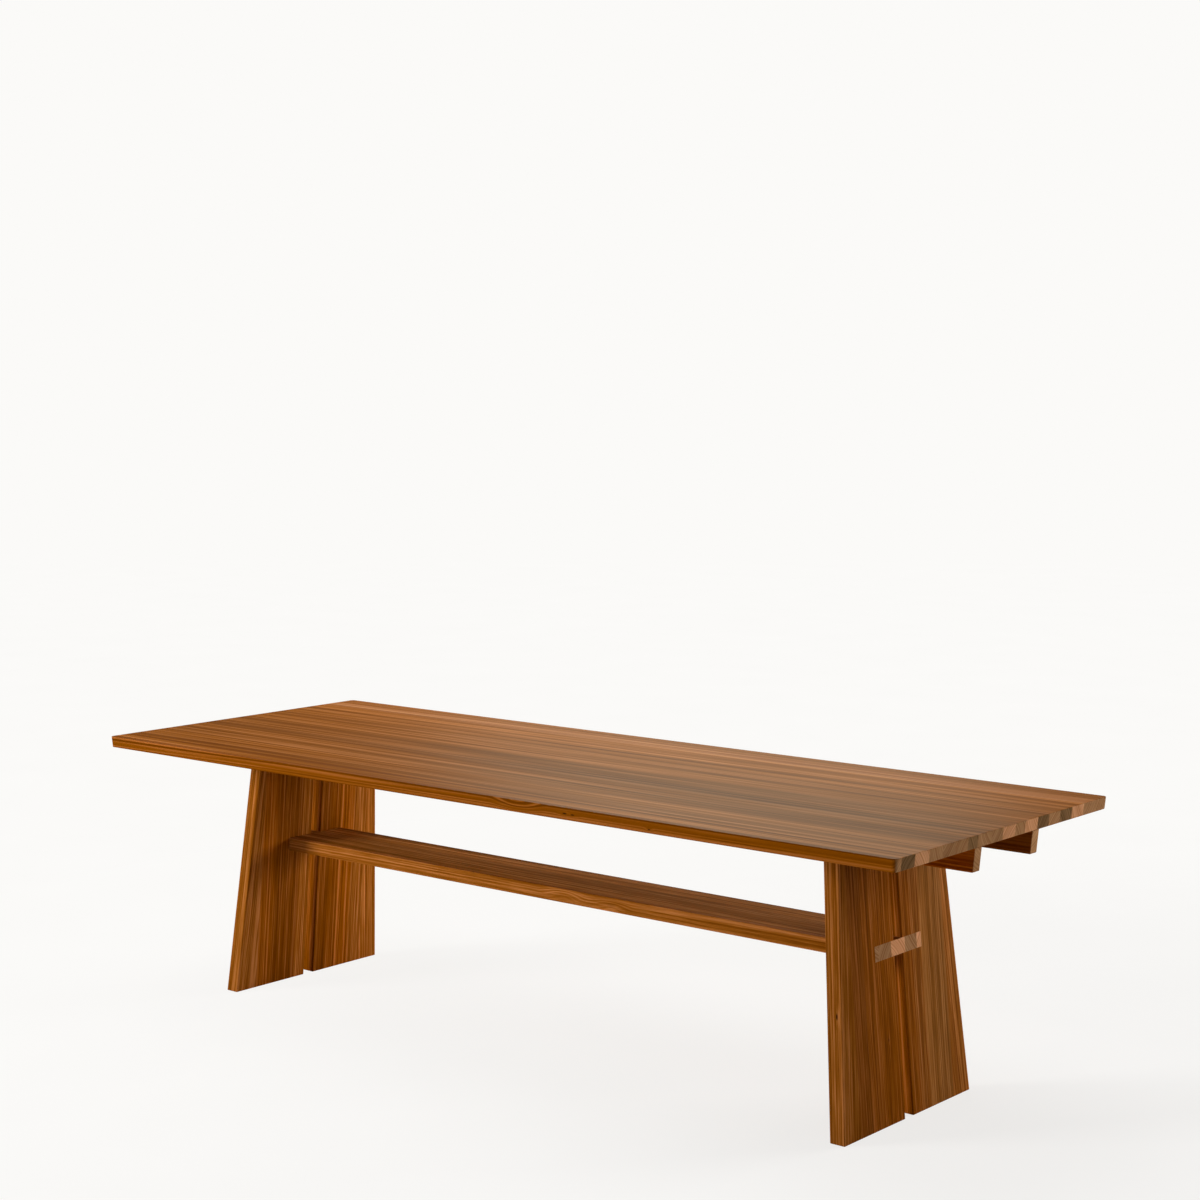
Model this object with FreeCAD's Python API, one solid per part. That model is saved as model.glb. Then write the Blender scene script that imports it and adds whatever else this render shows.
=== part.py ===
import FreeCAD, Part
import math
import os

# Trestle dining table in solid wood: a staved top on two bearers, two splayed trestles and a stretcher.
# Millimetres. The origin is on the floor under the middle of the top. +X runs along the length,
# +Y from the front to the rear and +Z up.

# Top, glued up from full-length staves; its edges lean in towards the underside
table_length = 2600.0
table_width = 950.0
table_height = 720.0
top_thickness = 30.0
corner_radius = 12.0
edge_slope_deg = 6.6
top_stave_shares = (24, 54, 59, 55, 53, 52, 43, 62, 48, 56, 45, 58, 53, 53, 57, 58, 58, 62)

# Trestles, each of two tapered boards side by side that lean out towards the floor
leg_inset = 336.0  # end of the top to the middle of the leg's head
leg_splay_deg = 4.8
leg_thickness = 40.0
leg_head_width = 442.0  # across both boards, under the top
leg_foot_width = 546.0  # across both boards, on the floor
leg_gap = 36.0  # daylight between the two boards
leg_inner_shares = (41, 41)  # staves that the stretcher interrupts
leg_outer_shares = (51, 50, 20)  # staves that run from floor to top, measured at the head

# Stretcher, a flat board that passes through both trestles
stretcher_width = 200.0
stretcher_thickness = 36.0
stretcher_height = 380.0  # floor to its underside
stretcher_stave_shares = (15, 54, 60, 51, 20)

# Bearers, boards on edge let into the heads of the trestles
bearer_spacing = 258.0  # middle to middle
bearer_thickness = 30.0
bearer_depth = 55.0

# Dowels that pin the trestles to the stretcher and to the bearers
dowel_diameter = 10.0
dowel_length = 50.0

# Screws that hold the top down on the bearers
screw_diameter = 5.0
screw_head_width = 10.0  # across the flats of its hexagon
screw_head_height = 3.5
screw_cover = 10.0  # wood left above a screw's point
counterbore_depth = 25.0
socket_room = 1.5  # round the corners of a screw's head, for the driving socket
screws_between_trestles = 3

# Fits and finish
arris_radius = 1.5  # on the long edges of the legs and the stretcher
eased_flat = 1.0  # on the edges of the top and the bearers, and round the feet
slip_clearance = 0.15
cut_overrun = 5.0
flat_tolerance = 0.01

Vector = FreeCAD.Vector
ORIGIN = Vector(0, 0, 0)
ALONG = Vector(1, 0, 0)
ACROSS = Vector(0, 1, 0)
UP = Vector(0, 0, 1)

# Places that follow from the sizes above
underside = table_height - top_thickness
bearer_base = underside - bearer_depth
bearer_place = bearer_spacing / 2
stretcher_top = stretcher_height + stretcher_thickness
stretcher_middle = stretcher_height + stretcher_thickness / 2
mortise_wall = stretcher_width / 2 + slip_clearance
screw_seat = bearer_base + counterbore_depth
screw_tip = table_height - screw_cover


def leg_middle(height):
    """Distance from the table's middle to the middle of a trestle's thickness, at a height."""
    return table_length / 2 - leg_inset + (underside - height) * math.tan(math.radians(leg_splay_deg))


def leg_outside(height):
    """Distance from the table's middle to a trestle's outer face, at a height."""
    return leg_middle(height) + leg_thickness / 2


def edge_lean(height):
    """How far the sloping edges of the top and the bearers' ends lie in from the top's outline."""
    return (table_height - height) * math.tan(math.radians(edge_slope_deg))


def rounded_outline(height, radius):
    """Closed outline of the top at a height, with round corners."""
    reach_x = table_length / 2 - edge_lean(height)
    reach_y = table_width / 2 - edge_lean(height)
    corners = []
    for quarter, (side_x, side_y) in enumerate(((1, 1), (-1, 1), (-1, -1), (1, -1))):
        middle = Vector(side_x * (reach_x - radius), side_y * (reach_y - radius), height)
        corners.append(Part.makeCircle(radius, middle, UP, quarter * 90, quarter * 90 + 90))
    edges = []
    for corner, following in zip(corners, corners[1:] + corners[:1]):
        start = corner.valueAt(corner.LastParameter)
        end = following.valueAt(following.FirstParameter)
        edges += [corner, Part.makeLine(start, end)]
    return Part.Wire(edges)


def board_from_ends(reach_low, reach_high, z_low, z_high, y_low, y_high):
    """A lengthwise board, even about the table's middle, with its ends cut at a slant."""
    profile = [Vector(-reach_low, y_low, z_low), Vector(reach_low, y_low, z_low)]
    profile += [Vector(reach_high, y_low, z_high), Vector(-reach_high, y_low, z_high)]
    face = Part.Face(Part.makePolygon(profile + profile[:1]))
    return face.extrude(ACROSS * (y_high - y_low))


def soften(shape, chosen):
    """Round the arrises whose bounding box is chosen."""
    return shape.makeFillet(arris_radius, [edge for edge in shape.Edges if chosen(edge.BoundBox)])


def ease(shape, chosen):
    """Take a small flat off the arrises whose bounding box is chosen."""
    return shape.makeChamfer(eased_flat, [edge for edge in shape.Edges if chosen(edge.BoundBox)])


def slab(shape, y_low, y_high, z_low, z_high):
    """A block that spans a shape's whole extent in X, between two planes in Y and two in Z."""
    box = shape.BoundBox
    corner = Vector(box.XMin - cut_overrun, y_low, z_low)
    return Part.makeBox(box.XLength + 2 * cut_overrun, y_high - y_low, z_high - z_low, corner)


def stave_lines(start, width, shares):
    """The glue lines between staves that share a width."""
    lines = []
    for count in range(1, len(shares)):
        lines.append(start + width * sum(shares[:count]) / sum(shares))
    return lines


def staves(shape, lines):
    """Cut a board into its staves along glue lines, from the lowest Y to the highest."""
    box = shape.BoundBox
    marks = [box.YMin - cut_overrun] + lines + [box.YMax + cut_overrun]
    pieces = []
    for low, high in zip(marks, marks[1:]):
        block = slab(shape, low, high, box.ZMin - cut_overrun, box.ZMax + cut_overrun)
        pieces.append(shape.common(block))
    return pieces


def mirrored(shape, side, row):
    """Carry a shape from the right rear quarter of the table to another quarter."""
    if row == "front":
        shape = shape.mirror(ORIGIN, ACROSS)
    if side == "left":
        shape = shape.mirror(ORIGIN, ALONG)
    return shape


def rod(diameter, length, middle, direction):
    """A round rod, or the bore for one, centred on a point."""
    return Part.makeCylinder(diameter / 2, length, middle - direction * (length / 2), direction)


def stretcher_dowel(room):
    """The dowel between the stretcher's rear edge and the right rear board, or its bore."""
    middle = Vector(leg_middle(stretcher_middle), stretcher_width / 2, stretcher_middle)
    return rod(dowel_diameter + 2 * room, dowel_length + 2 * room, middle, ACROSS)


def bearer_dowel(room):
    """The dowel between the rear bearer and the right rear board, or its bore."""
    middle = Vector(leg_middle(bearer_base), bearer_place, bearer_base)
    return rod(dowel_diameter + 2 * room, dowel_length + 2 * room, middle, UP)


def quarters(shape):
    """A shape of the right rear quarter repeated in all four."""
    return [mirrored(shape, side, row) for side in ("left", "right") for row in ("front", "rear")]


def screw_places():
    """Where the screws stand along a bearer: evenly between the trestles, and one beyond each."""
    reach = leg_middle(underside) - leg_thickness / 2
    pitch = 2 * reach / screws_between_trestles
    between = [pitch * (count + 0.5) - reach for count in range(screws_between_trestles)]
    beyond = (leg_outside(bearer_base) + table_length / 2 - edge_lean(bearer_base)) / 2
    return [-beyond] + between + [beyond]


def screw(place):
    """A hexagon-headed wood screw, head down, with its seat in the counterbore and its end in the top."""
    seat = place + UP * screw_seat
    corners = []
    for count in range(6):
        turn = math.radians(60 * count)
        corners.append(seat + Vector(math.cos(turn), math.sin(turn), 0) * (screw_head_width / math.sqrt(3)))
    head = Part.Face(Part.makePolygon(corners + corners[:1])).extrude(UP * -screw_head_height)
    shank = Part.makeCylinder(screw_diameter / 2, screw_tip - screw_seat, seat, UP)
    return head.fuse(shank)


def screw_bore(place):
    """The counterbore, clearance hole and pilot hole for one screw."""
    wide = screw_head_width / math.sqrt(3) + socket_room
    mouth = place + UP * (bearer_base - cut_overrun)
    counterbore = Part.makeCylinder(wide, counterbore_depth + cut_overrun, mouth, UP)
    seat = place + UP * screw_seat
    depth = screw_tip + slip_clearance - screw_seat
    pilot = Part.makeCylinder(screw_diameter / 2 + slip_clearance, depth, seat, UP)
    return counterbore.fuse(pilot)


def table_top(bores):
    """The whole top: a loft from the smaller underside to the upper outline, with eased arrises."""
    low = rounded_outline(underside, corner_radius - edge_lean(underside))
    high = rounded_outline(table_height, corner_radius)
    board = ease(Part.makeLoft([low, high], True, True), lambda box: box.ZLength < flat_tolerance)
    return board.cut(bores)


def bearer(row, bores):
    """One bearer, with its ends in the same plane as the top's ends."""
    side = 1 if row == "rear" else -1
    low = side * bearer_place - bearer_thickness / 2
    reach_low = table_length / 2 - edge_lean(bearer_base)
    reach_high = table_length / 2 - edge_lean(underside)
    board = board_from_ends(reach_low, reach_high, bearer_base, underside, low, low + bearer_thickness)
    board = ease(board, lambda box: box.ZMin < underside - flat_tolerance)
    return board.cut(bores + quarters(bearer_dowel(slip_clearance)))


def stretcher():
    """The whole stretcher, cut flush with the trestles' outer faces."""
    reach_low = leg_outside(stretcher_height)
    reach_high = leg_outside(stretcher_top)
    half = stretcher_width / 2
    board = board_from_ends(reach_low, reach_high, stretcher_height, stretcher_top, -half, half)
    board = soften(board, lambda box: box.XLength > table_length / 2)
    return board.cut(quarters(stretcher_dowel(slip_clearance)))


def trestle_board():
    """The right rear leg board: tapered and splayed, with its mortise, bearer slot and dowel bores."""
    foot = leg_outside(0)
    head = leg_outside(underside)
    outline = [Vector(foot, leg_gap / 2, 0), Vector(foot, leg_foot_width / 2, 0)]
    outline += [Vector(head, leg_head_width / 2, underside), Vector(head, leg_gap / 2, underside)]
    face = Part.Face(Part.makePolygon(outline + outline[:1]))
    board = soften(face.extrude(ALONG * -leg_thickness), lambda box: box.ZLength > underside / 2)
    board = ease(board, lambda box: box.ZMax < flat_tolerance)
    mortise = slab(board, 0, mortise_wall, stretcher_height, stretcher_top + slip_clearance)
    half = bearer_thickness / 2 + slip_clearance
    slot = slab(board, bearer_place - half, bearer_place + half, bearer_base, underside + cut_overrun)
    return board.cut([mortise, slot, stretcher_dowel(slip_clearance), bearer_dowel(slip_clearance)])


def trestle_staves():
    """The staves of one leg board by name; the stretcher splits each inner one into two."""
    inner_lines = stave_lines(leg_gap / 2, mortise_wall - leg_gap / 2, leg_inner_shares)
    outer_lines = stave_lines(mortise_wall, leg_head_width / 2 - mortise_wall, leg_outer_shares)
    pieces = staves(trestle_board(), inner_lines + [mortise_wall] + outer_lines)
    named = {}
    for number, piece in enumerate(pieces[:len(leg_inner_shares)], start=1):
        lower, upper = sorted(piece.Solids, key=lambda solid: solid.BoundBox.ZMin)
        named[f"inner_stave_{number}_lower"] = lower
        named[f"inner_stave_{number}_upper"] = upper
    for number, piece in enumerate(pieces[len(leg_inner_shares):], start=1):
        named[f"outer_stave_{number}"] = piece
    return named


def write(name, shape):
    """Write one piece of the table."""
    shape.exportStep(f"parts/{name}.step")


os.makedirs("parts", exist_ok=True)
places = [Vector(x, side * bearer_place, 0) for side in (-1, 1) for x in screw_places()]
screw_bores = [screw_bore(place) for place in places]

top_lines = stave_lines(-table_width / 2, table_width, top_stave_shares)
for number, piece in enumerate(staves(table_top(screw_bores), top_lines), start=1):
    write(f"top_stave_{number:02d}", piece)

for row in ("front", "rear"):
    write(f"bearer_{row}", bearer(row, screw_bores))

stretcher_lines = stave_lines(-stretcher_width / 2, stretcher_width, stretcher_stave_shares)
for number, piece in enumerate(staves(stretcher(), stretcher_lines), start=1):
    write(f"stretcher_stave_{number}", piece)

leg_pieces = trestle_staves()
for side in ("left", "right"):
    for row in ("front", "rear"):
        for name, piece in leg_pieces.items():
            write(f"leg_{side}_{row}_{name}", mirrored(piece, side, row))

write("top_screws", Part.makeCompound([screw(place) for place in places]))
write("stretcher_dowels", Part.makeCompound(quarters(stretcher_dowel(0))))
write("bearer_dowels", Part.makeCompound(quarters(bearer_dowel(0))))
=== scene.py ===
"""Looks of a trestle dining table in oiled walnut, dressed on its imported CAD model."""

import logging
import math
from dataclasses import dataclass
from enum import Enum

import bmesh
import bpy
from mathutils import Euler, Matrix, Vector


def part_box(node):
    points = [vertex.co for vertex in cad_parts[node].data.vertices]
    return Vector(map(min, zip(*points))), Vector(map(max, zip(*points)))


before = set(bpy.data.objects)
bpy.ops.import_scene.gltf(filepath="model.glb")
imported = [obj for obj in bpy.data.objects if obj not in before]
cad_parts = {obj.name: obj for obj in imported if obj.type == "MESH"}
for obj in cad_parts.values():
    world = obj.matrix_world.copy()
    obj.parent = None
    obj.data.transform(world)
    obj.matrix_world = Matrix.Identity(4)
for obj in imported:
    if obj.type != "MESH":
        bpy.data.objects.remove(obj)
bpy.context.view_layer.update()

log = logging.getLogger("trestle_table")

Tree = bpy.types.NodeTree
Socket = bpy.types.NodeSocket
Feed = Socket | float | Vector | Euler | tuple[float, ...]
Colour = tuple[float, float, float, float]
Point = tuple[float, float, float]

MM = 0.001
WHITE = "FFFFFF"

# A stave's grain runs along X of its own coordinates, and its rings lie across it.
ALONG = Vector((1.0, 0.0, 0.0))
ACROSS = Vector((0.0, 1.0, 1.0))

# Metres between the grain of one stave and the next, so that no two are alike.
STAVE_APART = 3.7

# Scale of a noise whose coordinates are brought to real sizes first, detail of a smooth one,
# and the level that every noise lies about.
UNSCALED = 1.0
SMOOTH = 1.0
NOISE_MIDDLE = 0.5

# Place of the body colour between a stave's darkest streak, at zero, and its lightest, at one.
BODY = 0.5

# A Mix node repeats the names of its sockets, so the ones for colours go by number.
MIX_SHARE = 0
MIX_UNDER = 6
MIX_OVER = 7
MIX_COLOUR = 2


def linear(hex_code: str) -> Colour:
    """Turns an sRGB hex colour into the linear colour that a shader takes.

    Args:
        hex_code: Six hex digits, such as "86501C".

    Returns:
        Linear red, green and blue, and an alpha of one.
    """
    parts = [int(hex_code[i:i + 2], 16) / 255 for i in (0, 2, 4)]
    # The sRGB curve is straight near black and a power above that.
    red, green, blue = (
        c / 12.92 if c <= 0.04045 else ((c + 0.055) / 1.055) ** 2.4 for c in parts
    )
    return red, green, blue, 1.0


def shaded(hex_code: str, shade: float) -> Colour:
    """Makes a colour lighter or darker.

    Args:
        hex_code: The colour, in sRGB.
        shade: What its linear parts are multiplied by.

    Returns:
        The linear colour.
    """
    red, green, blue, alpha = linear(hex_code)
    return red * shade, green * shade, blue * shade, alpha


def add(
    tree: Tree,
    kind: str,
    feeds: dict[int | str, Feed] | None = None,
    out: int | str = 0,
    **settings: str,
) -> Socket | None:
    """Adds a node with its settings, and fills its inputs.

    Args:
        tree: The tree that takes the node.
        kind: The node's type name without its ShaderNode prefix.
        feeds: An input's name or number, and the output or value that it gets.
        out: The name or number of the output to give back.
        settings: The node's own properties.

    Returns:
        One output of the new node, or None where it has none.
    """
    node = tree.nodes.new("ShaderNode" + kind)
    for name, value in settings.items():
        setattr(node, name, value)
    for key, feed in (feeds or {}).items():
        if isinstance(feed, Socket):
            tree.links.new(feed, node.inputs[key])
        else:
            node.inputs[key].default_value = feed
    return node.outputs[out] if node.outputs else None


def new_material(name: str) -> tuple[bpy.types.Material, Tree]:
    """Makes an empty node material.

    Args:
        name: The material's name.

    Returns:
        The material and its node tree.
    """
    material = bpy.data.materials.new(name)
    material.use_nodes = True
    material.node_tree.nodes.clear()
    return material, material.node_tree


def seen(tree: Tree) -> Socket:
    """Tells rays that show the background from rays that light the table.

    Args:
        tree: The floor's or the world's tree.

    Returns:
        One on camera, glossy and transmission rays, and zero on the others.
    """
    camera, glossy, through = (
        add(tree, "LightPath", out=f"Is {kind} Ray")
        for kind in ("Camera", "Glossy", "Transmission")
    )
    return add(tree, "Math", {
        0: add(tree, "Math", {0: camera, 1: glossy}, operation="MAXIMUM"), 1: through,
    }, operation="MAXIMUM")


def wear(node: str, material: bpy.types.Material) -> None:
    """Puts a material on every slot of a CAD node.

    Args:
        node: The CAD node's name.
        material: What it is finished in.
    """
    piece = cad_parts[node]
    if not piece.material_slots:
        piece.data.materials.append(material)
    for slot in piece.material_slots:
        slot.material = material
    log.info("%s dressed in %s", node, material.name)


def middle_of(nodes: list[str]) -> Vector:
    """Finds the middle of one or more CAD nodes.

    Args:
        nodes: Their names.

    Returns:
        The middle of the box that holds them all, in metres.
    """
    boxes = [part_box(node) for node in nodes]
    low = [min(box[0][axis] for box in boxes) for axis in range(3)]
    high = [max(box[1][axis] for box in boxes) for axis in range(3)]
    return (Vector(low) + Vector(high)) / 2


class Tone(Enum):
    """Colours of a walnut face: its dark streaks, its body and its light streaks."""

    PALE = ("8A501E", "A86734", "C88B58")
    # GOLDEN, where it stands on the stretcher's top, also paints in part of that top's
    # yellow-green sheen.
    GOLDEN = ("6E400A", "8C541A", "B2763E")
    WARM = ("6C3802", "8A4F12", "B06E38")
    BROWN = ("683400", "854702", "A8622A")
    RED = ("642600", "7C3804", "964E10")


class EndTone(Enum):
    """Colours of walnut end grain, sanded and oiled: late wood and early wood."""

    PALE = ("AC724A", "D0986C")
    MID = ("865C38", "AE8159")
    DARK = ("5E4428", "8E6A46")


class Run(Enum):
    """The way that a stave's grain runs, as the turn about Y that lays it along X."""

    LENGTHWISE = 0.0
    UPRIGHT = math.pi / 2


class Side(Enum):
    """The end of the table that a trestle carries, as the sign of its splay."""

    LEFT = -1
    RIGHT = 1


@dataclass(frozen=True)
class Streak:
    """A band of darker heartwood or paler sapwood along a stave.

    Attributes:
        place: How far it lies from the stave's middle, across the stave, in mm.
        width: Half its width, in mm.
        depth: How dark it is, or how pale where it is below zero.
    """

    place: float
    width: float
    depth: float


@dataclass(frozen=True)
class Knot:
    """A small knot that the grain flows round.

    Attributes:
        place: Its middle, in the table's own frame, in mm.
        size: Half its width across the grain, in mm.
        heart: How dark its core is, from none at zero to black-brown at one.
        slimness: Its width against its length, which lies along the grain.
        reach: How far the grain flows round it, in sizes.
        bulge: How far it pushes the rings apart, in sizes.
        pith: Where its core starts to fade, in sizes.
        colour: Of its core.
    """

    place: Point
    size: float
    heart: float = 1.0
    slimness: float = 0.3
    reach: float = 4.0
    bulge: float = 1.4
    pith: float = 0.3
    colour: str = "2A1506"


@dataclass(frozen=True)
class Stave:
    """One stave's own wood.

    Attributes:
        face: Colours of its faces and edges.
        shade: Brightness of its faces against its tone's.
        end: Colours of its end grain.
        end_shade: Brightness of its end grain against its tone's.
        pith: How far the tree's pith lies from the stave's middle, across and up, in mm.
        lean: Slope of the grain against the stave, across and up, in degrees.
        streaks: The bands that stand out on it.
        knots: The knots that show on it.
        gloss: Level of the mirror part of its oiled face, which is 0.5 under varnish.
    """

    face: Tone = Tone.BROWN
    shade: float = 1.0
    end: EndTone = EndTone.MID
    end_shade: float = 1.0
    pith: tuple[float, float] = (110.0, -90.0)
    lean: tuple[float, float] = (0.05, 0.1)
    streaks: tuple[Streak, ...] = ()
    knots: tuple[Knot, ...] = ()
    gloss: float = 0.001


@dataclass(frozen=True)
class Lie:
    """How a stave lies in the table.

    Attributes:
        run: The way that its grain runs.
        slope: Further turn about Y, in radians, of a stave that stands aslant.
        middle: Its middle, in metres.
        number: Sets it apart from every other stave.
    """

    run: Run
    slope: float
    middle: Vector
    number: int


# Oil leaves the pores open and gives no film. The eye gets the depth of the wood's own colours,
# fine dark lines along the grain, arcs of rings on the ends and a soft sheen at low angles.
@dataclass(frozen=True)
class OiledWalnut:
    """Solid walnut, planed, sanded and oiled.

    Attributes:
        streak_width: Usual width of a colour streak, in mm.
        streak_length: Usual length of a colour streak, in mm.
        streak_detail: How far a streak breaks up into finer ones.
        streak_roughness: How strong the finer ones are.
        ring_width: Usual width of a growth ring, in mm.
        end_ring_width: The same where the rings show on an end.
        pore_width: Width of a pore line, in mm. Real ones are some 0.2 mm wide, and are
            drawn as coarse as they need to be to show.
        pore_length: Length of a pore line, in mm. It is drawn longer to match.
        pore_depth: Depth of a pore line, in mm.
        pore_relief: Share of that depth that the light shows.
        wander: How far the rings wander from the straight, in mm.
        wander_length: Over what length they wander, in mm.
        wander_width: Over what width they wander alike, in mm.
        streak_share: How far the streaks go from the body colour.
        ring_share: How far the rings do.
        pore_share: How far the pore lines do.
        end_spread: How far the rings on an end go, until they are all early or late wood.
        cut_start: Cosine between the grain and the surface's normal where end grain starts.
        cut_full: The same where all is end grain.
        roughness: Of the oiled face.
        roughness_spread: How much rougher a pore line is than the wood beside it.
    """

    streak_width: float = 16.0
    streak_length: float = 1600.0
    streak_detail: float = 3.0
    streak_roughness: float = 0.65
    ring_width: float = 4.0
    end_ring_width: float = 4.0
    pore_width: float = 2.8
    pore_length: float = 90.0
    pore_depth: float = 0.1
    pore_relief: float = 0.3
    wander: float = 8.0
    wander_length: float = 1200.0
    wander_width: float = 83.3
    streak_share: float = 2.2
    ring_share: float = 0.8
    pore_share: float = 1.1
    end_spread: float = 0.3
    cut_start: float = 0.6
    cut_full: float = 0.9
    roughness: float = 0.5
    roughness_spread: float = 0.15

    def lay(self, tree: Tree, stave: Stave, lie: Lie) -> tuple[Socket, Matrix, Vector]:
        """Turns the table's coordinates into the stave's, with the pith along X.

        Args:
            tree: The material's tree.
            stave: The stave's own wood.
            lie: How it lies in the table.

        Returns:
            The stave's coordinates, and the turn and the shift that give them.
        """
        across, up = (math.radians(angle) for angle in stave.lean)
        turn = Euler((0.0, lie.run.value + lie.slope + up, across))
        apart = ALONG * STAVE_APART * lie.number
        shift = apart - Vector((0.0, *stave.pith)) * MM - turn.to_matrix() @ lie.middle
        wood = add(tree, "Mapping", {
            "Vector": add(tree, "TexCoord", out="Object"),
            "Location": shift,
            "Rotation": turn,
        })
        return wood, turn.to_matrix(), shift

    def bend(self, tree: Tree, wood: Socket) -> Socket:
        """Lets the rings wander, as they swell and thin along the tree.

        Args:
            tree: The material's tree.
            wood: The stave's coordinates.

        Returns:
            The coordinates, bent a little across the grain.
        """
        length, width = self.wander_length * MM, self.wander_width * MM
        slow = add(tree, "TexNoise", {
            "Vector": add(tree, "VectorMath", {
                0: wood, 1: (1 / length, 1 / width, 1 / width),
            }, operation="MULTIPLY"),
            "Scale": UNSCALED,
            "Detail": SMOOTH,
        }, out="Color")
        return add(tree, "VectorMath", {
            0: slow, 1: ACROSS * self.wander * MM, 2: wood,
        }, operation="MULTIPLY_ADD")

    def knot(self, tree: Tree, wood: Socket, middle: Vector, knot: Knot) -> tuple[Socket, Socket]:
        """Draws one knot: the bulge that it gives the rings, and its dark core.

        Args:
            tree: The material's tree.
            wood: The stave's coordinates.
            middle: The knot's middle in them.
            knot: Its size and its core.

        Returns:
            What it adds to the rings' radius, and how much of its core shows.
        """
        size = knot.size * MM
        away = add(tree, "VectorMath", {
            0: add(tree, "VectorMath", {
                0: add(tree, "VectorMath", {0: wood, 1: middle}, operation="SUBTRACT"),
                1: ALONG * knot.slimness + ACROSS,
            }, operation="MULTIPLY"),
        }, out="Value", operation="LENGTH")
        bulge = add(tree, "MapRange", {
            "Value": away,
            "From Min": 0.0,
            "From Max": knot.reach * size,
            "To Min": knot.bulge * size,
            "To Max": 0.0,
        }, interpolation_type="SMOOTHERSTEP")
        core = add(tree, "MapRange", {
            "Value": away,
            "From Min": knot.pith * size,
            "From Max": size,
            "To Min": knot.heart,
            "To Max": 0.0,
        }, interpolation_type="SMOOTHSTEP")
        return bulge, core

    def streaks(self, tree: Tree, wood: Socket, radius: Socket) -> Socket:
        """Draws colour streaks along the rings, straight on faces and in arcs on ends.

        Args:
            tree: The material's tree.
            wood: The stave's coordinates.
            radius: Distance from the pith.

        Returns:
            A noise that lies about one half.
        """
        along = add(tree, "SeparateXYZ", {0: wood}, out="X")
        return add(tree, "TexNoise", {
            "Vector": add(tree, "CombineXYZ", {
                "X": add(tree, "Math", {
                    0: radius, 1: 1 / (self.streak_width * MM),
                }, operation="MULTIPLY"),
                "Y": add(tree, "Math", {
                    0: along, 1: 1 / (self.streak_length * MM),
                }, operation="MULTIPLY"),
            }),
            "Scale": UNSCALED,
            "Detail": self.streak_detail,
            "Roughness": self.streak_roughness,
        }, noise_dimensions="2D")

    def rings(self, tree: Tree, radius: Socket, width: float) -> Socket:
        """Draws growth rings.

        Args:
            tree: The material's tree.
            radius: Distance from the pith.
            width: Usual width of a ring, in mm.

        Returns:
            A noise that lies about one half.
        """
        return add(tree, "TexNoise", {
            "W": add(tree, "Math", {0: radius, 1: 1 / (width * MM)}, operation="MULTIPLY"),
            "Scale": UNSCALED,
            "Detail": SMOOTH,
        }, noise_dimensions="1D")

    def pores(self, tree: Tree, bent: Socket) -> Socket:
        """Draws pore lines, fine and long.

        Args:
            tree: The material's tree.
            bent: The stave's coordinates, bent with the rings.

        Returns:
            A noise that lies about one half.
        """
        length, width = self.pore_length * MM, self.pore_width * MM
        return add(tree, "TexNoise", {
            "Vector": add(tree, "VectorMath", {
                0: bent, 1: (1 / length, 1 / width, 1 / width),
            }, operation="MULTIPLY"),
            "Scale": UNSCALED,
        })

    def band(self, tree: Tree, bent: Socket, streak: Streak, pith: float) -> Socket:
        """Draws one streak that stands out.

        Args:
            tree: The material's tree.
            bent: The stave's coordinates, bent with the rings.
            streak: The streak.
            pith: How far the pith lies from the stave's middle, across it, in mm.

        Returns:
            What it adds to the tint.
        """
        across = add(tree, "SeparateXYZ", {0: bent}, out="Y")
        # On the whole, the bend moves the wood by this middle share of its wander.
        middle = (streak.place - pith + self.wander * NOISE_MIDDLE) * MM
        away = add(tree, "Math", {
            0: add(tree, "Math", {0: across, 1: middle}, operation="SUBTRACT"),
        }, operation="ABSOLUTE")
        return add(tree, "MapRange", {
            "Value": away,
            "From Min": 0.0,
            "From Max": streak.width * MM,
            "To Min": -streak.depth,
            "To Max": 0.0,
        }, interpolation_type="SMOOTHSTEP")

    def face(self, tree: Tree, stave: Stave, tint: Socket, cores: list[Socket]) -> Socket:
        """Colours the faces and edges, which are cut along the grain.

        Args:
            tree: The material's tree.
            stave: The stave's own wood.
            tint: Zero in the darkest streak and one in the lightest.
            cores: How much of each knot's core shows.

        Returns:
            The colour.
        """
        colour = add(tree, "ValToRGB", {0: tint})
        ramp = colour.node.color_ramp.elements
        ramp.new(BODY)
        for stop, code in zip(ramp, stave.face.value):
            stop.color = shaded(code, stave.shade)
        for knot, core in zip(stave.knots, cores):
            colour = add(tree, "Mix", {
                MIX_SHARE: core, MIX_UNDER: colour, MIX_OVER: linear(knot.colour),
            }, out=MIX_COLOUR, data_type="RGBA")
        return colour

    def end(self, tree: Tree, stave: Stave, rings: Socket, streaks: Socket) -> Socket:
        """Colours the ends, which are cut across the grain.

        Args:
            tree: The material's tree.
            stave: The stave's own wood.
            rings: The growth rings.
            streaks: The colour streaks.

        Returns:
            The colour.
        """
        late, early = (shaded(code, stave.end_shade) for code in stave.end.value)
        # Rings and streaks are two noises, and their sum lies about twice the middle of one.
        middle = 2 * NOISE_MIDDLE
        share = add(tree, "MapRange", {
            "Value": add(tree, "Math", {0: rings, 1: streaks}, operation="ADD"),
            "From Min": middle - self.end_spread,
            "From Max": middle + self.end_spread,
        })
        return add(tree, "Mix", {
            MIX_SHARE: share, MIX_UNDER: late, MIX_OVER: early,
        }, out=MIX_COLOUR, data_type="RGBA")

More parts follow.
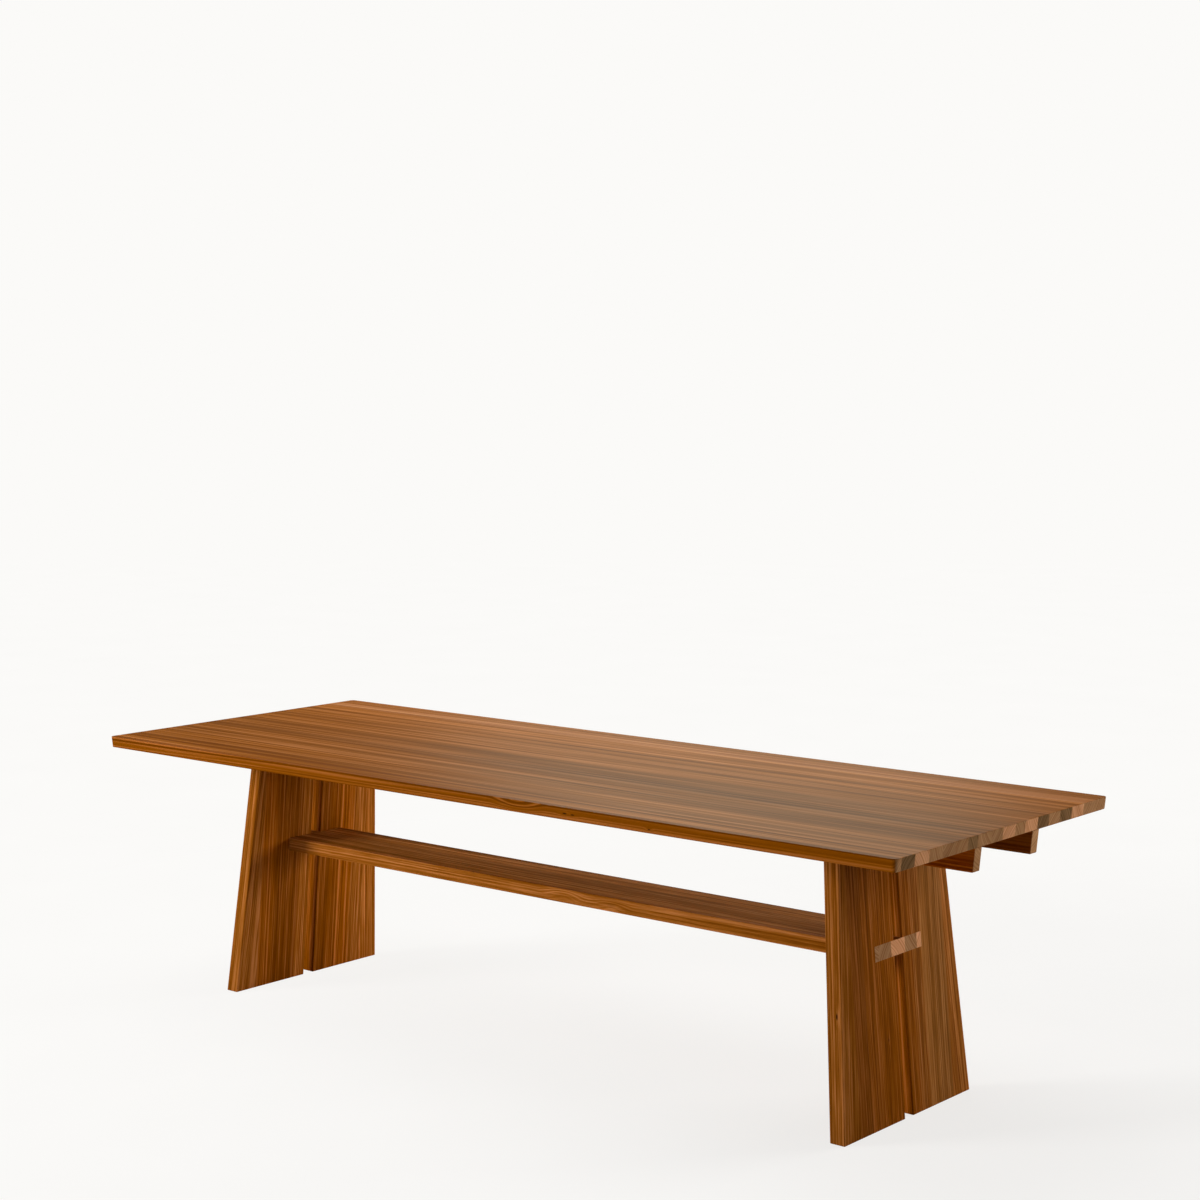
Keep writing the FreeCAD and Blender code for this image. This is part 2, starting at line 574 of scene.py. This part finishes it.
    def cut(self, tree: Tree, turn: Matrix) -> Socket:
        """Finds where the surface is cut across the grain.

        Args:
            tree: The material's tree.
            turn: What turns the table's coordinates into the stave's.

        Returns:
            One on end grain, and zero on faces and edges.
        """
        off = add(tree, "VectorMath", {
            0: add(tree, "NewGeometry", out="Normal"), 1: turn.transposed() @ ALONG,
        }, out="Value", operation="DOT_PRODUCT")
        return add(tree, "MapRange", {
            "Value": add(tree, "Math", {0: off}, operation="ABSOLUTE"),
            "From Min": self.cut_start,
            "From Max": self.cut_full,
        })

    def material(self, name: str, stave: Stave, lie: Lie) -> bpy.types.Material:
        """Builds the wood of one stave, so that its faces and its ends agree.

        Args:
            name: The CAD node that gets it.
            stave: The stave's own wood.
            lie: How it lies in the table.

        Returns:
            The material.
        """
        material, tree = new_material("oiled_walnut_" + name)
        wood, turn, shift = self.lay(tree, stave, lie)
        bent = self.bend(tree, wood)
        radius = add(tree, "VectorMath", {
            0: add(tree, "VectorMath", {0: bent, 1: ACROSS}, operation="MULTIPLY"),
        }, out="Value", operation="LENGTH")
        cores = []
        for knot in stave.knots:
            middle = turn @ (Vector(knot.place) * MM) + shift
            bulge, core = self.knot(tree, wood, middle, knot)
            radius = add(tree, "Math", {0: radius, 1: bulge}, operation="ADD")
            cores.append(core)
        streaks = self.streaks(tree, wood, radius)
        pores = self.pores(tree, bent)
        figure = (
            (streaks, self.streak_share),
            (self.rings(tree, radius, self.ring_width), self.ring_share),
            (pores, self.pore_share),
        )
        # Where every noise is at its middle, the wood has its body colour.
        tint = BODY - NOISE_MIDDLE * sum(share for noise, share in figure)
        for noise, share in figure:
            tint = add(tree, "Math", {0: noise, 1: share, 2: tint}, operation="MULTIPLY_ADD")
        for streak in stave.streaks:
            band = self.band(tree, bent, streak, stave.pith[0])
            tint = add(tree, "Math", {0: tint, 1: band}, operation="ADD")
        colour = add(tree, "Mix", {
            MIX_SHARE: self.cut(tree, turn),
            MIX_UNDER: self.face(tree, stave, tint, cores),
            MIX_OVER: self.end(
                tree, stave, self.rings(tree, radius, self.end_ring_width), streaks
            ),
        }, out=MIX_COLOUR, data_type="RGBA")
        skin = add(tree, "BsdfPrincipled", {
            "Base Color": colour,
            "Roughness": add(tree, "Math", {
                0: pores,
                1: -self.roughness_spread,
                2: self.roughness + self.roughness_spread * NOISE_MIDDLE,
            }, operation="MULTIPLY_ADD"),
            "Specular IOR Level": stave.gloss,
            "Normal": add(tree, "Bump", {
                "Height": pores, "Distance": self.pore_depth * MM, "Strength": self.pore_relief,
            }),
        })
        add(tree, "OutputMaterial", {"Surface": skin})
        return material


@dataclass
class TableTop:
    """The top: eighteen full-length staves, front to rear.

    Attributes:
        first: Number of its first stave.
        wood: Grain of the staves between the two long edges.
        edge_wood: Grain of the front and the rear stave, whose edges show.
        staves: Each stave's own wood.
    """

    first: int = 1
    wood: OiledWalnut = OiledWalnut(
        streak_width=20.0, streak_length=1900.0, ring_width=6.0, pore_width=4.0,
        pore_length=500.0, streak_share=2.0, ring_share=0.9, roughness=0.46,
    )
    edge_wood: OiledWalnut = OiledWalnut(
        streak_width=22.0, streak_length=1900.0, streak_share=1.4, ring_share=2.2,
        pore_length=400.0, pore_share=0.8, roughness=0.46,
    )
    staves: tuple[Stave, ...] = (
        Stave(Tone.BROWN, 0.87, EndTone.MID, 1.0, (95, -70), knots=(
            Knot((384.5, -473.3, 705.7), 2.6),
            Knot((409, -473.3, 705.1), 2.4),
            Knot((637.6, -472.6, 699.4), 1.8),
            Knot((235, -474, 713), 8.0, heart=0.0),
        )),
        Stave(Tone.WARM, 1.1, EndTone.DARK, 0.8, (80, -60), streaks=(Streak(12, 13, 0.4),)),
        Stave(Tone.WARM, 0.95, EndTone.PALE, 0.97, (-100, -80)),
        Stave(Tone.WARM, 1.05, EndTone.MID, 1.03, (120, 70)),
        Stave(Tone.WARM, 0.9, EndTone.MID, 0.92, (-90, 90)),
        Stave(Tone.WARM, 0.9, EndTone.MID, 1.0, (100, -60)),
        Stave(Tone.WARM, 0.95, EndTone.DARK, 1.05, (-110, -70)),
        Stave(Tone.WARM, 0.8, EndTone.MID, 0.98, (85, 60), streaks=(Streak(0, 16, 0.3),)),
        Stave(Tone.WARM, 0.9, EndTone.MID, 0.9, (-100, 70)),
        Stave(Tone.WARM, 0.88, EndTone.PALE, 1.0, (95, -75)),
        Stave(Tone.WARM, 1.0, EndTone.MID, 1.08, (-90, -65)),
        Stave(Tone.WARM, 1.05, EndTone.PALE, 1.1, (110, 75)),
        Stave(Tone.WARM, 1.0, EndTone.DARK, 0.9, (-120, 85)),
        Stave(Tone.WARM, 1.1, EndTone.MID, 1.15, (90, -95)),
        Stave(Tone.WARM, 1.1, EndTone.DARK, 1.0, (-95, -70)),
        Stave(Tone.WARM, 1.22, EndTone.PALE, 1.08, (100, 65)),
        Stave(Tone.PALE, 1.0, EndTone.MID, 1.1, (-85, 70)),
        Stave(Tone.WARM, 1.05, EndTone.MID, 1.12, (105, -60)),
    )

    def dress(self) -> None:
        """Finishes each stave in its own wood."""
        last = self.first + len(self.staves) - 1
        for number, stave in enumerate(self.staves, self.first):
            node = f"top_stave_{number:02d}"
            lie = Lie(Run.LENGTHWISE, 0.0, middle_of([node]), number)
            wood = self.edge_wood if number in (self.first, last) else self.wood
            wear(node, wood.material(node, stave, lie))


@dataclass
class Bearers:
    """Two boards on edge under the top.

    Attributes:
        first: Number of the front one.
        wood: Grain of both, with strong streaks.
        boards: The front one's wood and the rear one's, which is set at half the front one's
            brightness: painted shade, for where it stands behind the front one under the top.
        sides: What their names end in.
    """

    first: int = 30
    wood: OiledWalnut = OiledWalnut(streak_share=3.0, ring_width=6.0, ring_share=2.6)
    boards: tuple[Stave, ...] = (
        Stave(Tone.RED, 1.24, EndTone.MID, 1.15, (70, 110)),
        # Painted shade: this low shade darkens the rear board for the shade that falls on it
        # behind the front board under the top.
        Stave(Tone.RED, 0.62, EndTone.MID, 1.3, (-70, 110)),
    )
    sides: tuple[str, ...] = ("front", "rear")

    def dress(self) -> None:
        """Finishes both boards."""
        for number, (side, board) in enumerate(zip(self.sides, self.boards), self.first):
            node = f"bearer_{side}"
            lie = Lie(Run.LENGTHWISE, 0.0, middle_of([node]), number)
            wear(node, self.wood.material(node, board, lie))


@dataclass
class Stretcher:
    """The flat board that runs through both trestles, five staves front to rear.

    Attributes:
        first: Number of its first stave.
        wood: Grain of all five.
        staves: Each stave's own wood. The four behind the front one make the top; their greener
            GOLDEN tone is partly the wood's own colour and partly a painted sheen, the
            yellow-green cast the top shows at low angles.
    """

    first: int = 41
    wood: OiledWalnut = OiledWalnut(streak_width=14.0, streak_share=2.6, ring_share=1.0)
    staves: tuple[Stave, ...] = (
        Stave(Tone.WARM, 0.98, EndTone.MID, 1.0, (60, 90), knots=(
            Knot((220, -101, 396), 6.0, heart=0.2),
            Knot((60, -101, 404), 7.0, heart=0.0),
        )),
        # Painted sheen in part: GOLDEN, greener than the front stave's tone, gives these top
        # staves the yellow-green cast of a sheen, not only their wood's colour.
        Stave(Tone.GOLDEN, 1.0, EndTone.MID, 0.95, (110, -80), gloss=0.0004),
        Stave(Tone.GOLDEN, 1.0, EndTone.PALE, 1.17, (-90, -75), gloss=0.0004),
        Stave(Tone.GOLDEN, 1.3, EndTone.MID, 1.07, (100, 70), gloss=0.0004),
        Stave(Tone.GOLDEN, 1.0, EndTone.PALE, 1.3, (-80, 70), gloss=0.0004),
    )

    def dress(self) -> None:
        """Finishes each stave in its own wood."""
        for place, stave in enumerate(self.staves):
            node = f"stretcher_stave_{place + 1}"
            lie = Lie(Run.LENGTHWISE, 0.0, middle_of([node]), self.first + place)
            wear(node, self.wood.material(node, stave, lie))


@dataclass
class Trestle:
    """Two splayed leg boards with a slot between them, glued up from upright staves.

    Attributes:
        side: Which end of the table it carries.
        first: Number of its first stave.
        front: Wood of the front board's staves, from the slot outwards.
        rear: Wood of the rear board's staves, from the slot outwards.
        splay: How far it leans, in degrees.
        wood: Grain of both boards.
        parts: Stems of the staves' names, from the slot outwards.
    """

    side: Side
    first: int
    front: tuple[Stave, ...]
    rear: tuple[Stave, ...]
    splay: float = 4.8
    wood: OiledWalnut = OiledWalnut(
        streak_width=7.0, streak_length=1100.0, wander=4.0, streak_share=1.9, ring_share=1.0,
        pore_width=2.4, pore_length=130.0, pore_share=1.9,
    )
    parts: tuple[str, ...] = (
        "inner_stave_1", "inner_stave_2", "outer_stave_1", "outer_stave_2", "outer_stave_3",
    )

    def dress(self) -> None:
        """Finishes each stave; the two halves of a cut stave are one piece of wood."""
        slope = math.radians(self.splay) * self.side.value
        boards = {"front": self.front, "rear": self.rear}
        staves = [
            (f"leg_{self.side.name.lower()}_{board}_{part}", stave)
            for board, woods in boards.items()
            for part, stave in zip(self.parts, woods)
        ]
        for number, (stem, stave) in enumerate(staves, self.first):
            nodes = sorted(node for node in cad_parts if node.startswith(stem))
            lie = Lie(Run.UPRIGHT, slope, middle_of(nodes), number)
            for node in nodes:
                wear(node, self.wood.material(node, stave, lie))


def left_trestle() -> Trestle:
    """Gives the left trestle, set lighter than the right one and its rear board lightest: partly
    the wood's own tone, partly painted light for the stronger light on its inner faces.

    Returns:
        The trestle. The grain of its outermost staves follows their tapered edges.
    """
    return Trestle(
        Side.LEFT,
        first=61,
        front=(
            Stave(Tone.WARM, 1.25, pith=(120, 90)),
            Stave(Tone.BROWN, 0.85, pith=(-110, 100)),
            Stave(Tone.BROWN, 0.84, pith=(100, -110)),
            Stave(Tone.BROWN, 1.1, pith=(-130, 90)),
            Stave(Tone.WARM, 0.98, pith=(110, 120), lean=(-4.3, 0.1), streaks=(
                Streak(41, 26, -0.45),
            )),
        ),
        # Painted light in part: the rear board's staves are set lightest, for the extra light that
        # reaches this board's inner face.
        rear=(
            Stave(Tone.BROWN, 0.94, pith=(120, 90)),
            Stave(Tone.BROWN, 1.15, pith=(-110, 100)),
            Stave(Tone.BROWN, 1.42, pith=(100, -110)),
            Stave(Tone.WARM, 1.32, pith=(-130, 90)),
            Stave(Tone.WARM, 1.5, pith=(110, 120), lean=(4.3, 0.1)),
        ),
    )


def right_trestle() -> Trestle:
    """Gives the right trestle, with a pin knot on its front board and one on that board's edge.

    Returns:
        The trestle. The grain of its outermost staves follows their tapered edges.
    """
    return Trestle(
        Side.RIGHT,
        first=81,
        front=(
            Stave(Tone.BROWN, 1.06, pith=(120, 90), gloss=0.003),
            Stave(Tone.BROWN, 1.02, pith=(-110, 100), gloss=0.0035, knots=(
                Knot((1026, -65, 194), 2.0),
            )),
            Stave(Tone.BROWN, 0.94, pith=(100, -110), gloss=0.004),
            Stave(Tone.BROWN, 0.72, pith=(-130, 90), gloss=0.004),
            Stave(Tone.WARM, 0.9, pith=(110, 120), lean=(-4.3, 0.1), knots=(
                Knot((1005, -252, 285), 3.2),
            )),
        ),
        rear=(
            Stave(Tone.BROWN, 1.05, pith=(120, 90), gloss=0.005),
            Stave(Tone.WARM, 1.05, pith=(-110, 100), gloss=0.008),
            Stave(Tone.GOLDEN, 1.05, pith=(100, -110), gloss=0.009, streaks=(
                Streak(-10, 12, -0.1), Streak(15, 12, 0.25),
            )),
            Stave(Tone.GOLDEN, 0.92, pith=(-130, 90), gloss=0.009),
            Stave(Tone.WARM, 1.2, pith=(110, 120), lean=(4.3, 0.1), gloss=0.009),
        ),
    )


# Plating is thin and follows the turned metal. The eye gets a cool bright grey that dulls in
# patches, with fine marks round the shank.
@dataclass(frozen=True)
class ZincPlatedSteel:
    """Turned steel screws, zinc plated.

    Attributes:
        bright: Colour of the clean plating.
        dull: Colour where the plating has dulled.
        patch_size: Usual size of a dull patch, in mm.
        roughness: Of dull plating.
        polish: How much smoother clean plating is.
        mark_width: Width of a turning mark, in mm. Real ones are finer, and wouldn't show.
        mark_depth: Depth of a turning mark, in mm.
        mark_relief: Share of that depth that the light shows.
    """

    bright: str = "C4C8CC"
    dull: str = "8C9094"
    patch_size: float = 6.0
    roughness: float = 0.45
    polish: float = 0.2
    mark_width: float = 0.8
    mark_depth: float = 0.05
    mark_relief: float = 0.5

    def material(self) -> bpy.types.Material:
        """Builds the plating, dull in patches, with turning marks up the shank.

        Returns:
            The material.
        """
        material, tree = new_material("zinc_plated_steel")
        place = add(tree, "TexCoord", out="Object")
        patches = add(tree, "TexNoise", {"Vector": place, "Scale": 1 / (self.patch_size * MM)})
        marks = add(tree, "TexNoise", {
            "W": add(tree, "SeparateXYZ", {0: place}, out="Z"),
            "Scale": 1 / (self.mark_width * MM),
        }, noise_dimensions="1D")
        skin = add(tree, "BsdfPrincipled", {
            "Base Color": add(tree, "Mix", {
                MIX_SHARE: patches, MIX_UNDER: linear(self.dull), MIX_OVER: linear(self.bright),
            }, out=MIX_COLOUR, data_type="RGBA"),
            "Metallic": 1.0,
            "Roughness": add(tree, "Math", {
                0: patches, 1: -self.polish, 2: self.roughness,
            }, operation="MULTIPLY_ADD"),
            "Normal": add(tree, "Bump", {
                "Height": marks, "Distance": self.mark_depth * MM, "Strength": self.mark_relief,
            }),
        })
        add(tree, "OutputMaterial", {"Surface": skin})
        return material


# Bare beech has no sheen. The eye gets an even pink-tan with short dark flecks along the rod.
@dataclass(frozen=True)
class TurnedBeech:
    """Beech dowel rod, turned and left bare.

    Attributes:
        body: Colour of the wood.
        fleck: Colour of its rays.
        fleck_width: Width of a ray fleck, in mm.
        fleck_length: Length of a ray fleck, in mm.
        fleck_start: Level of the noise at which a fleck starts.
        fleck_full: Level at which it has all its colour.
        fleck_depth: Depth of a fleck, in mm.
        fleck_relief: Share of that depth that the light shows.
        roughness: Of the bare wood.
    """

    body: str = "D2AE82"
    fleck: str = "A87C50"
    fleck_width: float = 0.7
    fleck_length: float = 4.0
    fleck_start: float = 0.55
    fleck_full: float = 0.75
    fleck_depth: float = 0.05
    fleck_relief: float = 0.3
    roughness: float = 0.65

    def material(self) -> bpy.types.Material:
        """Builds the bare wood, flecked along the dowels, which lie across the table.

        Returns:
            The material.
        """
        material, tree = new_material("turned_beech")
        length, width = self.fleck_length * MM, self.fleck_width * MM
        flecks = add(tree, "TexNoise", {
            "Vector": add(tree, "VectorMath", {
                0: add(tree, "TexCoord", out="Object"), 1: (1 / width, 1 / length, 1 / width),
            }, operation="MULTIPLY"),
            "Scale": UNSCALED,
        })
        share = add(tree, "MapRange", {
            "Value": flecks, "From Min": self.fleck_start, "From Max": self.fleck_full,
        })
        skin = add(tree, "BsdfPrincipled", {
            "Base Color": add(tree, "Mix", {
                MIX_SHARE: share, MIX_UNDER: linear(self.body), MIX_OVER: linear(self.fleck),
            }, out=MIX_COLOUR, data_type="RGBA"),
            "Roughness": self.roughness,
            "Normal": add(tree, "Bump", {
                "Height": flecks, "Distance": self.fleck_depth * MM, "Strength": self.fleck_relief,
            }),
        })
        add(tree, "OutputMaterial", {"Surface": skin})
        return material


@dataclass
class Fixings:
    """Screws and dowels that hold the joints, out of sight from above.

    Attributes:
        steel: Finish of the screws.
        beech: Finish of the dowels.
        screws: The screws' node.
        dowels: The dowels' nodes.
    """

    steel: ZincPlatedSteel = ZincPlatedSteel()
    beech: TurnedBeech = TurnedBeech()
    screws: str = "top_screws"
    dowels: tuple[str, ...] = ("stretcher_dowels", "bearer_dowels")

    def dress(self) -> None:
        """Finishes the screws in zinc-plated steel and the dowels in beech."""
        wear(self.screws, self.steel.material())
        beech = self.beech.material()
        for node in self.dowels:
            wear(node, beech)


# Matt paper has no sheen. The eye gets an even white that keeps a soft part of the table's shadow.
@dataclass(frozen=True)
class WhitePaper:
    """Studio paper, pressed smooth and matt.

    Attributes:
        light: Colour of its lightest clouds.
        dark: Colour of its darkest clouds.
        cloud_size: Usual size of a cloud, in mm.
        shadow: Middle of the place where its shadow shows best, in metres.
        shadow_near: Distance from there within which the shadow is fullest, in metres.
        shadow_far: Distance past which none shows, in metres.
        glow_near: Share of its light that is its own, where the shadow is fullest.
        glow_far: The same where none shows.
    """

    light: str = "FCFBF9"
    dark: str = "FAF9F7"
    cloud_size: float = 400.0
    shadow: Point = (1.2, 0.6, 0.0)
    shadow_near: float = 0.3
    shadow_far: float = 3.8
    glow_near: float = 0.78
    glow_far: float = 1.0

    def material(self) -> bpy.types.Material:
        """Builds the paper, which glows evenly wherever no shadow should show.

        Returns:
            The material. It is clear from below, so that the underside can be looked at.
        """
        material, tree = new_material("white_paper_floor")
        place = add(tree, "TexCoord", out="Object")
        away = add(tree, "VectorMath", {
            0: place, 1: self.shadow,
        }, out="Value", operation="DISTANCE")
        glow = add(tree, "MapRange", {
            "Value": away,
            "From Min": self.shadow_near,
            "From Max": self.shadow_far,
            "To Min": self.glow_near,
            "To Max": self.glow_far,
        }, interpolation_type="SMOOTHSTEP")
        clouds = add(tree, "TexNoise", {"Vector": place, "Scale": 1 / (self.cloud_size * MM)})
        paper = add(tree, "Mix", {
            MIX_SHARE: clouds, MIX_UNDER: linear(self.dark), MIX_OVER: linear(self.light),
        }, out=MIX_COLOUR, data_type="RGBA")
        skin = add(tree, "MixShader", {
            0: add(tree, "Math", {0: glow, 1: seen(tree)}, operation="MULTIPLY"),
            1: add(tree, "BsdfDiffuse", {"Color": paper}),
            2: add(tree, "Emission", {"Color": paper}),
        })
        one_sided = add(tree, "MixShader", {
            0: add(tree, "NewGeometry", out="Backfacing"),
            1: skin,
            2: add(tree, "BsdfTransparent"),
        })
        add(tree, "OutputMaterial", {"Surface": one_sided})
        return material


@dataclass(frozen=True)
class Lamp:
    """A soft rectangular studio lamp.

    Attributes:
        name: Its name.
        place: Where it hangs, in metres.
        size: Its width and height, in metres.
        power: Its power, in watts.
        colour: Colour of its light.
        gloss_only: Whether it shows as a sheen alone.
    """

    name: str
    place: Point
    size: tuple[float, float]
    power: float
    colour: str = WHITE
    gloss_only: bool = False

    def hang(self, target: Point) -> None:
        """Hangs the lamp so that it faces a point.

        Args:
            target: The point, in metres.
        """
        light = bpy.data.lights.new(self.name, "AREA")
        light.shape = "RECTANGLE"
        light.size, light.size_y = self.size
        light.energy = self.power
        light.color = linear(self.colour)[:3]
        holder = bpy.data.objects.new(self.name, light)
        holder.location = self.place
        aim = Vector(target) - Vector(self.place)
        holder.rotation_euler = aim.to_track_quat("-Z", "Y").to_euler()
        holder.visible_camera = False
        holder.visible_diffuse = not self.gloss_only
        bpy.context.scene.collection.objects.link(holder)
        log.info("%s hung", self.name)


@dataclass
class Studio:
    """Pale floor, soft lamps and the camera, which stands where the photograph was taken.

    Attributes:
        floor: Finish of the floor.
        floor_radius: Radius of the floor, in metres.
        floor_sides: Straight sides that make it round.
        floor_drop: How far it lies under the feet, in mm.
        backdrop: Colour of the background.
        ambient: Strength of the even light from all round.
        lamps: The soft lamps.
        target: The point that the lamps face, in metres.
        eye: Where the camera stands, in metres.
        yaw: How far the camera is turned to the left, in degrees.
        pitch: How far it looks down, in degrees.
        lens: Its focal length, in mm.
        sensor: Width of its sensor, in mm.
        rise: How far its lens is shifted upwards, in sensor widths.
    """

    floor: WhitePaper = WhitePaper()
    floor_radius: float = 16.0
    floor_sides: int = 128
    floor_drop: float = 0.3
    backdrop: str = "FBFAF8"
    ambient: float = 0.1
    lamps: tuple[Lamp, ...] = (
        Lamp("front_left_softbox", (-5.0, -6.5, 2.6), (2.6, 2.2), 600.0),
        Lamp("rear_right_softbox", (4.5, 8.0, 2.6), (5.0, 2.8), 650.0),
        Lamp("overhead_softbox", (-1.0, 0.5, 4.2), (4.0, 3.0), 94.0),
        Lamp("rear_panel", (-2.2, 3.6, 2.7), (2.5, 1.4), 530.0, "E2FFEE", gloss_only=True),
    )
    target: Point = (0.0, 0.0, 0.5)
    eye: Point = (3.8699, -4.5487, 1.7297)
    yaw: float = 39.646
    pitch: float = 2.486
    lens: float = 68.9
    sensor: float = 36.0
    rise: float = -0.10217

    def build_floor(self) -> None:
        """Lays a round paper floor."""
        mesh = bpy.data.meshes.new("floor")
        shape = bmesh.new()
        bmesh.ops.create_circle(
            shape, cap_ends=True, segments=self.floor_sides, radius=self.floor_radius
        )
        drop = (0.0, 0.0, -self.floor_drop * MM)
        bmesh.ops.translate(shape, vec=drop, verts=shape.verts)
        shape.to_mesh(mesh)
        shape.free()
        mesh.materials.append(self.floor.material())
        floor = bpy.data.objects.new("floor", mesh)
        bpy.context.scene.collection.objects.link(floor)
        log.info("floor laid")

    def build_world(self) -> None:
        """Surrounds the table with an even pale light and a white background."""
        world = bpy.data.worlds.new("pale_studio")
        world.use_nodes = True
        tree = world.node_tree
        tree.nodes.clear()
        skin = add(tree, "MixShader", {
            0: seen(tree),
            1: add(tree, "Background", {"Color": linear(WHITE), "Strength": self.ambient}),
            2: add(tree, "Background", {"Color": linear(self.backdrop)}),
        })
        add(tree, "OutputWorld", {"Surface": skin})
        bpy.context.scene.world = world

    def build_camera(self) -> None:
        """Sets up the camera at the photograph's viewing angle."""
        camera = bpy.data.cameras.new("camera")
        camera.lens = self.lens
        camera.sensor_width = self.sensor
        camera.shift_y = self.rise
        holder = bpy.data.objects.new("camera", camera)
        holder.location = self.eye
        level = math.pi / 2
        holder.rotation_euler = (level - math.radians(self.pitch), 0.0, math.radians(self.yaw))
        bpy.context.scene.collection.objects.link(holder)
        bpy.context.scene.camera = holder

    def build(self) -> None:
        """Builds the whole studio."""
        self.build_floor()
        self.build_world()
        for lamp in self.lamps:
            lamp.hang(self.target)
        self.build_camera()
        bpy.context.scene.view_settings.view_transform = "Standard"


def main() -> None:
    """Dresses the table, sub-assembly by sub-assembly, and builds the studio round it."""
    logging.basicConfig(level=logging.INFO)
    TableTop().dress()
    Bearers().dress()
    Stretcher().dress()
    left_trestle().dress()
    right_trestle().dress()
    Fixings().dress()
    Studio().build()


if __name__ == "__main__":
    main()
